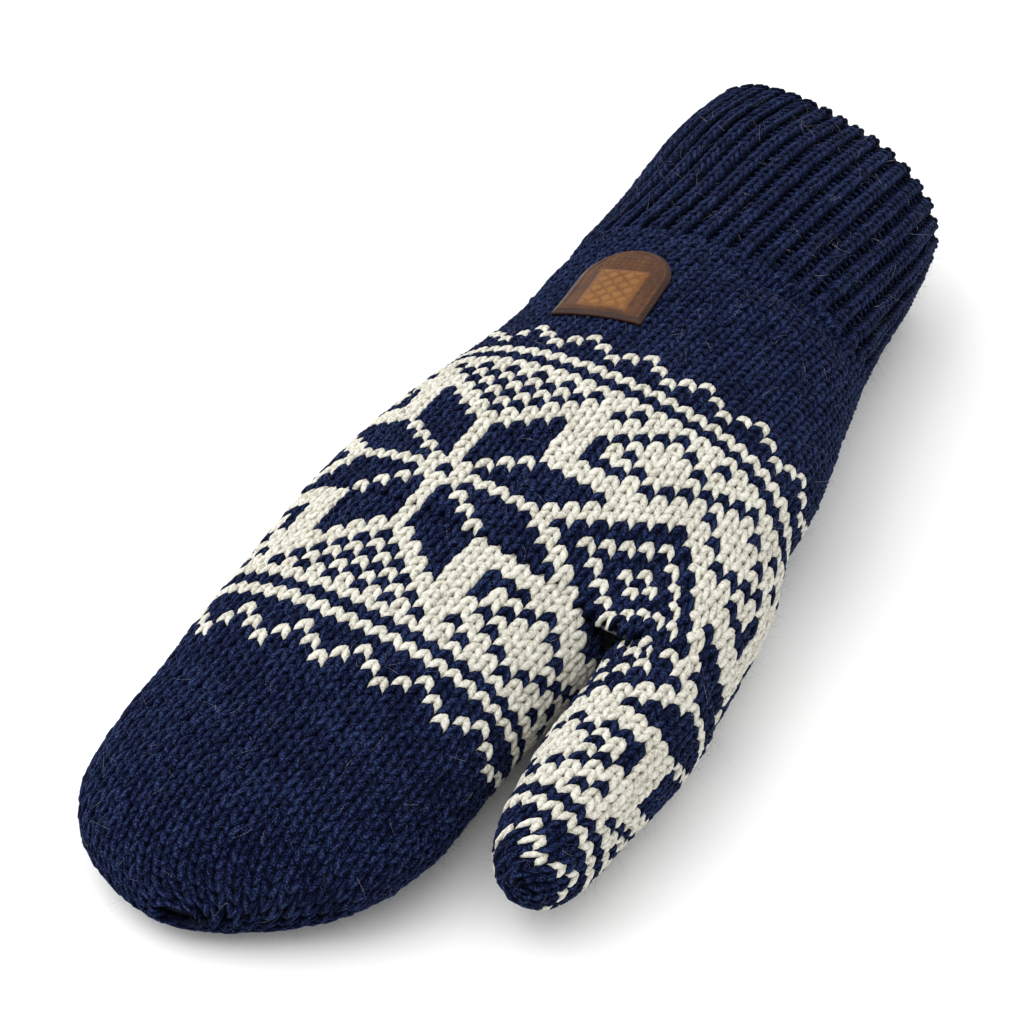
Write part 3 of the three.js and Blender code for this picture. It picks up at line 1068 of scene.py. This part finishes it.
def noise(tree, scale, detail, vector=None, roughness=0.6):
    node = tree.nodes.new("ShaderNodeTexNoise")
    node.inputs["Scale"].default_value = scale
    node.inputs["Detail"].default_value = detail
    node.inputs["Roughness"].default_value = roughness
    if vector is not None:
        tree.links.new(vector, node.inputs["Vector"])
    return node.outputs["Fac"]


def object_position(tree):
    return tree.nodes.new("ShaderNodeTexCoord").outputs["Object"]


def ramp(tree, factor, stops):
    node = tree.nodes.new("ShaderNodeValToRGB")
    node.color_ramp.elements[0].position = stops[0][0]
    node.color_ramp.elements[0].color = (*stops[0][1], 1)
    node.color_ramp.elements[1].position = stops[-1][0]
    node.color_ramp.elements[1].color = (*stops[-1][1], 1)
    for place, colour in stops[1:-1]:
        node.color_ramp.elements.new(place).color = (*colour, 1)
    tree.links.new(factor, node.inputs["Fac"])
    return node.outputs["Color"]


def mix_colour(tree, mode, factor, first, second):
    node = tree.nodes.new("ShaderNodeMix")
    node.data_type = "RGBA"
    node.blend_type = mode
    if isinstance(factor, float):
        node.inputs["Factor"].default_value = factor
    else:
        tree.links.new(factor, node.inputs["Factor"])
    for value, place in ((first, 6), (second, 7)):
        if isinstance(value, tuple):
            node.inputs[place].default_value = (*value, 1)
        else:
            tree.links.new(value, node.inputs[place])
    return node.outputs[2]


def maths(tree, operation, first, second):
    node = tree.nodes.new("ShaderNodeMath")
    node.operation = operation
    for value, place in ((first, 0), (second, 1)):
        if isinstance(value, (int, float)):
            node.inputs[place].default_value = value
        else:
            tree.links.new(value, node.inputs[place])
    return node.outputs[0]


def bump(tree, shader, height, strength, distance):
    node = tree.nodes.new("ShaderNodeBump")
    node.inputs["Strength"].default_value = strength
    node.inputs["Distance"].default_value = distance
    tree.links.new(height, node.inputs["Height"])
    tree.links.new(node.outputs["Normal"], shader.inputs["Normal"])


def tone_of(tree):
    node = tree.nodes.new("ShaderNodeAttribute")
    node.attribute_name = "tone"
    return node.outputs["Fac"]


def strand_parts(tree):
    """How far round the yarn, and how far along the leg of the stitch."""
    uv = tree.nodes.new("ShaderNodeUVMap")
    uv.uv_map = "strand"
    parts = tree.nodes.new("ShaderNodeSeparateXYZ")
    tree.links.new(uv.outputs["UV"], parts.inputs["Vector"])
    return parts.outputs["X"], parts.outputs["Y"]


def strand_twist(tree, around, along):
    """Slanting stripes along a yarn: its plies."""
    turns = maths(tree, "MULTIPLY", around, 2 * math.pi)
    shift = maths(tree, "MULTIPLY", along, PLY_TURNS * 2 * math.pi)
    return maths(tree, "SINE", maths(tree, "ADD", turns, shift), 0.0)


def painted_strand_light(tree, around, along):
    """Painted light and shade on a leg: 1 for the painted highlight on its top, falling to 0 as painted shade at
    its flanks and where its ends dive down.
    """
    flank = maths(tree, "ABSOLUTE", maths(tree, "SUBTRACT", around, RIDGE_AROUND), 0.0)
    top = maths(tree, "SUBTRACT", 1.0, maths(tree, "MULTIPLY", flank, 1 / RIDGE_REACH))
    crown = maths(tree, "MAXIMUM", top, 0.0)
    arch = maths(tree, "SINE", maths(tree, "MULTIPLY", along, math.pi), 0.0)
    return maths(tree, "MULTIPLY", crown, arch)


def wool(name, stops, tone_reach, sheen, sheen_tint, speck_scale, painted_light_reach):
    """Carded wool: flecks of lighter and darker fibre, a tone for every stitch, a soft bloom, and painted light
    and shade on each leg.

    The last argument says how much paler the top of a stitch is painted than its hollows: a painted highlight on
    the top and painted shade in the hollows; 0 is for plain sheets.
    """
    material, tree, shader = new_material(name)
    position = object_position(tree)
    flecks = noise(tree, speck_scale, 3.0, position, 0.8)
    blotches = noise(tree, 90.0, 2.0, position)
    stitch = maths(tree, "MULTIPLY", maths(tree, "SUBTRACT", tone_of(tree), 0.5), tone_reach)
    cloud = maths(tree, "MULTIPLY", maths(tree, "SUBTRACT", blotches, 0.5), 0.08)
    level = maths(tree, "ADD", maths(tree, "ADD", flecks, stitch), cloud)
    height = noise(tree, 2600.0, 2.0, position, 0.7)
    if painted_light_reach:
        around, along = strand_parts(tree)
        plies = strand_twist(tree, around, along)
        # Painted highlight on the top of each leg and painted shade at its flanks and ends, added to the colour.
        painted_leg_light = maths(tree, "SUBTRACT", painted_strand_light(tree, around, along), 0.5)
        level = maths(tree, "ADD", level, maths(tree, "MULTIPLY", painted_leg_light, painted_light_reach))
        height = maths(tree, "ADD", height, maths(tree, "MULTIPLY", plies, 0.45))
    tree.links.new(ramp(tree, level, stops), shader.inputs["Base Color"])
    shader.inputs["Roughness"].default_value = 0.9
    shader.inputs["Specular IOR Level"].default_value = 0.05
    shader.inputs["Sheen Weight"].default_value = sheen
    shader.inputs["Sheen Roughness"].default_value = 0.45
    shader.inputs["Sheen Tint"].default_value = (*sheen_tint, 1)
    bump(tree, shader, height, 0.5, 0.0004)
    return material


def navy_wool():
    stops = [
        (0.40, (0.0001, 0.0003, 0.0030)),
        (0.50, (0.0008, 0.0018, 0.0120)),
        (0.58, (0.0035, 0.0070, 0.0310)),
        (0.70, (0.0340, 0.0530, 0.1380)),
    ]
    # The last number is the strength of the painted light and shade on each leg.
    return wool("navy_wool", stops, 0.06, 0.05, (0.30, 0.45, 0.95), 2600.0, 0.22)


def cream_wool():
    stops = [
        (0.34, (0.27, 0.257, 0.212)),
        (0.46, (0.49, 0.471, 0.400)),
        (0.56, (0.63, 0.611, 0.530)),
        (0.68, (0.76, 0.750, 0.682)),
    ]
    # The last number is the strength of the painted light and shade on each leg.
    return wool("cream_wool", stops, 0.08, 0.12, (1.0, 0.98, 0.92), 1300.0, 0.20)


def backing_wool():
    stops = [
        (0.36, (0.0004, 0.0007, 0.0030)),
        (0.50, (0.0018, 0.0032, 0.0120)),
        (0.64, (0.0070, 0.0110, 0.0320)),
    ]
    return wool("backing_wool", stops, 0.0, 0.05, (0.4, 0.5, 0.9), 1300.0, 0.0)


def fleece():
    stops = [
        (0.30, (0.010, 0.012, 0.018)),
        (0.50, (0.030, 0.034, 0.046)),
        (0.72, (0.075, 0.082, 0.100)),
    ]
    material, tree, shader = new_material("fleece")
    position = object_position(tree)
    level = noise(tree, 700.0, 4.0, position, 0.7)
    tree.links.new(ramp(tree, level, stops), shader.inputs["Base Color"])
    shader.inputs["Roughness"].default_value = 1.0
    shader.inputs["Sheen Weight"].default_value = 0.5
    bump(tree, shader, noise(tree, 900.0, 3.0, position), 0.9, 0.001)
    return material


def leather():
    """Waxed leather: dark and reddish low down and at the edges, paler where it is rubbed."""
    stops = [
        (0.05, (0.010, 0.0022, 0.0008)),
        (0.35, (0.045, 0.0130, 0.0028)),
        (0.60, (0.135, 0.0490, 0.0085)),
        (1.00, (0.300, 0.1350, 0.0300)),
    ]
    material, tree, shader = new_material("leather")
    position = object_position(tree)
    grain = noise(tree, 900.0, 5.0, position, 0.7)
    patches = noise(tree, 160.0, 3.0, position)
    level = maths(tree, "ADD", maths(tree, "MULTIPLY", grain, 0.45), maths(tree, "MULTIPLY", patches, 0.35))
    level = maths(tree, "ADD", level, maths(tree, "MULTIPLY", tone_of(tree), 0.42))
    tree.links.new(ramp(tree, level, stops), shader.inputs["Base Color"])
    shader.inputs["Specular IOR Level"].default_value = 0.25
    shine = maths(tree, "ADD", maths(tree, "MULTIPLY", grain, 0.35), 0.30)
    tree.links.new(shine, shader.inputs["Roughness"])
    bump(tree, shader, noise(tree, 2200.0, 4.0, position, 0.6), 0.5, 0.0003)
    return material


def fibre_wool():
    """Single hairs: mostly slate blue, a few nearly white."""
    stops = [
        (0.00, (0.010, 0.016, 0.045)),
        (0.75, (0.040, 0.058, 0.120)),
        (0.92, (0.200, 0.215, 0.260)),
        (1.00, (0.600, 0.590, 0.560)),
    ]
    material, tree, shader = new_material("fibre")
    level = maths(tree, "ADD", tone_of(tree), maths(tree, "MULTIPLY", noise(tree, 400.0, 1.0, object_position(tree)), 0.1))
    tree.links.new(ramp(tree, level, stops), shader.inputs["Base Color"])
    shader.inputs["Roughness"].default_value = 0.6
    return material


def sewing_thread():
    stops = [(0.3, (0.004, 0.006, 0.018)), (0.7, (0.020, 0.026, 0.060))]
    material, tree, shader = new_material("sewing_thread")
    level = noise(tree, 1800.0, 2.0, object_position(tree))
    tree.links.new(ramp(tree, level, stops), shader.inputs["Base Color"])
    shader.inputs["Roughness"].default_value = 0.6
    bump(tree, shader, level, 0.5, 0.0002)
    return material


def bonding_film():
    stops = [(0.35, (0.36, 0.29, 0.18)), (0.65, (0.58, 0.50, 0.35))]
    material, tree, shader = new_material("bonding_film")
    level = noise(tree, 500.0, 3.0, object_position(tree))
    tree.links.new(ramp(tree, level, stops), shader.inputs["Base Color"])
    shader.inputs["Roughness"].default_value = 0.55
    bump(tree, shader, level, 0.4, 0.0003)
    return material


# ---- building ----------------------------------------------------------------------------
fingers_skin, hand_skin, thumb_skin = make_skins()
fingers_skin.press(hand_relief)
hand_skin.press(hand_relief)
rng = np.random.default_rng(SEED)

NAVY = navy_wool()
CREAM = cream_wool()
BACKING = backing_wool()
FLEECE = fleece()

# Heights where one piece of yarn ends and the next begins, each in the middle of a body.
FINGER_SPLIT_Y = (KNUCKLE_Y + FINGER_JOINT_Y) / 2
WRIST_SPLIT_Y = CROTCH_Y + 68
CUFF_SPLIT_Y = (WRIST_Y + SWAY_Y) / 2
THUMB_SPLIT_Y = (THUMB_ROOT[1] + THUMB_JOINT[1]) / 2

bins = {}


def bin_for(prefix):
    def choose(y, navy):
        return bins.setdefault((prefix(y), "navy" if navy else "cream"), [])
    return choose


def hand_prefix(y):
    return "palm" if y < WRIST_SPLIT_Y else "wrist"


def finger_prefix(y):
    return "knuckle" if y > FINGER_SPLIT_Y else "fingertip"


def thumb_prefix(y):
    return "thumb" if y > THUMB_SPLIT_Y else "thumb_tip"


SPARE_ROWS = 3          # rows tabulated beyond the first one that is laid
first_finger_row = math.ceil((CROTCH_Y - STAR_Y) / ROW_HEIGHT - 0.5) - 1
first_thumb_row = 2
finger_rows, finger_heights = row_heights(
    fingers_skin, STAR_Y + first_finger_row * ROW_HEIGHT + SPARE_ROWS * FINGER_ROW_HEIGHT,
    TIP_Y + TIP_START, first_finger_row + SPARE_ROWS, FINGER_ROW_HEIGHT)
thumb_rows, thumb_heights = row_heights(
    thumb_skin, STAR_Y + (first_thumb_row + SPARE_ROWS - THUMB_STAR_DROP) * ROW_HEIGHT,
    THUMB_TIP_Y + TIP_START, first_thumb_row + SPARE_ROWS, ROW_HEIGHT)


def finger_row_y(row, s):
    return np.interp(-np.asarray(row, float), -finger_rows.astype(float), finger_heights) + 0 * s


def thumb_row_y(row, s):
    return np.interp(-np.asarray(row, float), -thumb_rows.astype(float), thumb_heights) + 0 * s


def crotch_side(y, s):
    """Where rows bend towards the thumb, an extra row closes the join to the rows below."""
    share = thumb_share(s)
    lowest = CROTCH_Y - ROW_HEIGHT / 2 * (1 + 4 * share * (1 - share))
    return lowest <= y < RIB_START_Y


hand_rows = np.arange(first_finger_row, int((RIB_START_Y - STAR_Y) / ROW_HEIGHT) + 1)
lay_plain(hand_skin, hand_rows, hand_row_y, along_hand, crotch_side, bin_for(hand_prefix))
lay_plain(fingers_skin, finger_rows[SPARE_ROWS:], finger_row_y, along_fingers, always_here,
          bin_for(finger_prefix))
lay_plain(thumb_skin, thumb_rows[SPARE_ROWS:], thumb_row_y, along_thumb, always_here,
          bin_for(thumb_prefix))

pieces = {}
SKIN_OF = {
    "palm": (hand_skin, hand_row_y), "wrist": (hand_skin, hand_row_y),
    "knuckle": (fingers_skin, finger_row_y), "fingertip": (fingers_skin, finger_row_y),
    "thumb": (thumb_skin, thumb_row_y), "thumb_tip": (thumb_skin, thumb_row_y),
}
for (section, colour), stitches in sorted(bins.items()):
    skin, height_of = SKIN_OF[section]
    name = f"{section}_{colour}_yarn"
    material = NAVY if colour == "navy" else CREAM
    pieces[name] = (knit_piece(name, skin, stitches, height_of, material, rng), section)

pieces["wrist_rib_yarn"] = (
    rib_piece("wrist_rib_yarn", hand_skin, RIB_START_Y, CUFF_SPLIT_Y, False, NAVY, rng), "wrist")
pieces["cuff_rib_yarn"] = (
    rib_piece("cuff_rib_yarn", hand_skin, CUFF_SPLIT_Y, RIM_Y - 2.6, False, NAVY, rng), "cuff")
pieces["cuff_inside_yarn"] = (
    rib_piece("cuff_inside_yarn", hand_skin, CUFF_SPLIT_Y, RIM_Y - 2.6, True, NAVY, rng), "cuff")
pieces["wrist_inside_yarn"] = (
    rib_piece("wrist_inside_yarn", hand_skin, box_high("lining_hem_thread")[1] + 1, CUFF_SPLIT_Y, True, NAVY, rng),
    "wrist")
pieces["cuff_rim_yarn"] = (rim_piece("cuff_rim_yarn", hand_skin, NAVY, rng), "cuff")

finger_tip = fingers_skin.sections[0].mean(0) - np.array([0, 0.4, 0])
thumb_tip = thumb_skin.sections[0].mean(0) - np.array([0, 0.3, 0])
SHEETS = [
    ("fingertip_backing", fingers_skin, TIP_Y + 2.2, FINGER_SPLIT_Y, "fingertip", knit_ripple,
     finger_tip + np.array([0, 2.0, 0])),
    ("knuckle_backing", fingers_skin, FINGER_SPLIT_Y, CROTCH_Y + 3, "knuckle", knit_ripple, None),
    ("palm_backing", hand_skin, CROTCH_Y, WRIST_SPLIT_Y, "palm", knit_ripple, None),
    ("wrist_backing", hand_skin, WRIST_SPLIT_Y, CUFF_SPLIT_Y, "wrist", rib_ripple, None),
    ("cuff_backing", hand_skin, CUFF_SPLIT_Y, RIM_Y - 1.6, "cuff", rib_ripple, None),
    ("thumb_backing", thumb_skin, THUMB_SPLIT_Y, CROTCH_Y + 5, "thumb", tucked_ripple, None),
    ("thumb_tip_backing", thumb_skin, THUMB_TIP_Y + 2.0, THUMB_SPLIT_Y, "thumb_tip", knit_ripple,
     thumb_tip + np.array([0, 1.4, 0])),
]
for name, skin, start_y, end_y, section, ripple, tip in SHEETS:
    pieces[name] = (
        shell_piece(name, skin, start_y, end_y, 2.0, BACKING_SINK, BACKING_THICKNESS, BACKING, ripple, tip),
        section)

LINING_SINK = 3.9
LINING_THICKNESS = 1.9
lining_end = box_low("lining_hem_thread")[1] - 0.5
LININGS = [
    ("fingertip_fleece", fingers_skin, box_low("fingertip_lining")[1] - 1, FINGER_SPLIT_Y, "fingertip",
     "fingertip_lining", True),
    ("finger_fleece", fingers_skin, FINGER_SPLIT_Y, CROTCH_Y + 1, "knuckle", "finger_lining", False),
    ("palm_fleece", hand_skin, CROTCH_Y + 1, lining_end, "palm", "palm_lining", False),
    ("thumb_fleece", thumb_skin, THUMB_SPLIT_Y, CROTCH_Y + 1, "thumb", "thumb_lining", False),
    ("thumb_tip_fleece", thumb_skin, box_low("thumb_tip_lining")[1] - 1, THUMB_SPLIT_Y, "thumb_tip",
     "thumb_tip_lining", True),
]
for name, skin, start_y, end_y, section, node, closed in LININGS:
    tip = None
    if closed:
        tip = np.array([skin.sections[4][:, 0].mean(), start_y - 1.0, skin.sections[4][:, 2].mean()])
    piece = shell_piece(name, skin, start_y, end_y, 3.0, LINING_SINK, LINING_THICKNESS, FLEECE,
                        fleece_ripple, tip)
    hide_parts(node)
    pieces[name] = (piece, section)

# Small pieces.
LEATHER = leather()
FIBRE = fibre_wool()
THREAD = sewing_thread()
pieces["leather_patch"] = (label_piece(LEATHER), "label")
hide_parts("leather_label")
pieces["hem_overlock_thread"] = (
    cord_piece("hem_overlock_thread", [hem_path(hand_skin)], 0.28, THREAD), "hem")
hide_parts("lining_hem_thread")
DRAWN_YARNS = [("fingertip_drawn_yarn", "fingertip_closing_yarn", "fingertip_end", FINGER_LEAN),
               ("thumb_drawn_yarn", "thumb_closing_yarn", "thumb_end", 0.0)]
for name, node, section, slant in DRAWN_YARNS:
    strands = node_ring(node, 9, 0.35, 120, slant, 1.0) + node_ring(node, 4, 0.35, 60, slant, 0.45)
    pieces[name] = (cord_piece(name, strands, 0.42, NAVY), section)
    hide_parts(node)
frame["nodes"]["label_glue_film"].data.materials.clear()
frame["nodes"]["label_glue_film"].data.materials.append(bonding_film())

FIBRES = [
    ("fingertip_fibres", fingers_skin, TIP_Y + 2, FINGER_SPLIT_Y, 1500, "fingertip", 0.0),
    ("knuckle_fibres", fingers_skin, FINGER_SPLIT_Y, CROTCH_Y, 800, "knuckle", 0.0),
    ("palm_fibres", hand_skin, CROTCH_Y, WRIST_SPLIT_Y, 2600, "palm", 0.0),
    ("wrist_fibres", hand_skin, WRIST_SPLIT_Y, CUFF_SPLIT_Y, 900, "wrist", 0.2),
    ("cuff_fibres", hand_skin, CUFF_SPLIT_Y, RIM_Y - 1, 2200, "cuff", RIB_HEIGHT),
    ("thumb_fibres", thumb_skin, THUMB_SPLIT_Y, CROTCH_Y, 350, "thumb", 0.0),
    ("thumb_tip_fibres", thumb_skin, THUMB_TIP_Y + 2, THUMB_SPLIT_Y, 450, "thumb_tip", 0.0),
]
for name, skin, low_y, high_y, count, section, rise in FIBRES:
    pieces[name] = (fibre_piece(name, skin, low_y, high_y, count, FIBRE, rng, rise), section)


def attach(piece, section):
    """Each section is one stretch of fabric: the palm, label and hem pieces ride on the palm and the drawn yarns
    on their tips; the rest stay fixed where they are made.
    """
    if section in ("palm", "label", "hem"):
        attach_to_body(piece, "palm")
    elif section == "fingertip_end":
        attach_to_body(piece, "fingertips")
    elif section == "thumb_end":
        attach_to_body(piece, "thumb_tip")
    elif section == "knuckle":
        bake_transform(piece)
    elif section == "fingertip":
        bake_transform(piece)
    elif section == "wrist":
        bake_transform(piece)
    elif section == "cuff":
        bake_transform(piece)
    elif section == "thumb":
        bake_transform(piece)
    else:
        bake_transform(piece)


for name, (piece, section) in pieces.items():
    attach(piece, section)

REPLACED = {
    "palm_cream_yarn": "palm_knit", "wrist_rib_yarn": "wrist_rib_knit", "cuff_rib_yarn": "cuff_rib_knit",
    "knuckle_cream_yarn": "finger_knit", "fingertip_navy_yarn": "fingertip_knit",
    "thumb_cream_yarn": "thumb_knit", "thumb_tip_cream_yarn": "thumb_tip_knit",
}
for name, node in REPLACED.items():
    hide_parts(node)


# ---- floor, light and camera ---------------------------------------------------------------
CAMERA_TARGET = (-13.2, -21.2, 22.0)
CAMERA_AZIMUTH = 33.6
CAMERA_ELEVATION = 41.0
CAMERA_DISTANCE = 532.0
CAMERA_LENS = 81.26


def add_floor():
    mesh = bpy.data.meshes.new("floor")
    half = 3.0
    corners = [(-half, -half, -0.0012), (half, -half, -0.0012), (half, half, -0.0012), (-half, half, -0.0012)]
    mesh.from_pydata(corners, [], [(0, 1, 2, 3)])
    material, tree, shader = new_material("floor")
    shader.inputs["Base Color"].default_value = (0.92, 0.92, 0.92, 1)
    shader.inputs["Roughness"].default_value = 0.9
    mesh.materials.append(material)
    floor = bpy.data.objects.new("floor", mesh)
    bpy.context.scene.collection.objects.link(floor)


def add_light(name, azimuth, elevation, distance, size, power):
    lamp = bpy.data.lights.new(name, "AREA")
    lamp.size = size
    lamp.energy = power
    holder = bpy.data.objects.new(name, lamp)
    back = direction(azimuth, elevation)
    holder.location = back * distance
    holder.rotation_mode = "QUATERNION"
    holder.rotation_quaternion = (-back).to_track_quat("-Z", "Y")
    bpy.context.scene.collection.objects.link(holder)


def direction(azimuth, elevation):
    a, e = math.radians(azimuth), math.radians(elevation)
    return Vector((math.sin(a) * math.cos(e), -math.cos(a) * math.cos(e), math.sin(e)))


def add_camera():
    camera = bpy.data.cameras.new("camera")
    camera.lens = CAMERA_LENS
    camera.sensor_width = 36.0
    holder = bpy.data.objects.new("camera", camera)
    back = direction(CAMERA_AZIMUTH, CAMERA_ELEVATION)
    holder.location = Vector(CAMERA_TARGET) / METRE + back * CAMERA_DISTANCE / METRE
    holder.rotation_mode = "QUATERNION"
    holder.rotation_quaternion = (-back).to_track_quat("-Z", "Y")
    bpy.context.scene.collection.objects.link(holder)
    bpy.context.scene.camera = holder


def add_world():
    world = bpy.data.worlds.new("studio")
    world.use_nodes = True
    background = world.node_tree.nodes["Background"]
    background.inputs["Color"].default_value = (1, 1, 1, 1)
    background.inputs["Strength"].default_value = 0.94
    bpy.context.scene.world = world


add_floor()
add_world()
add_light("key", -62, 50, 1.2, 1.2, 9)
add_light("top", 30, 80, 1.4, 1.2, 5)
add_camera()
bpy.context.scene.view_settings.view_transform = "Standard"
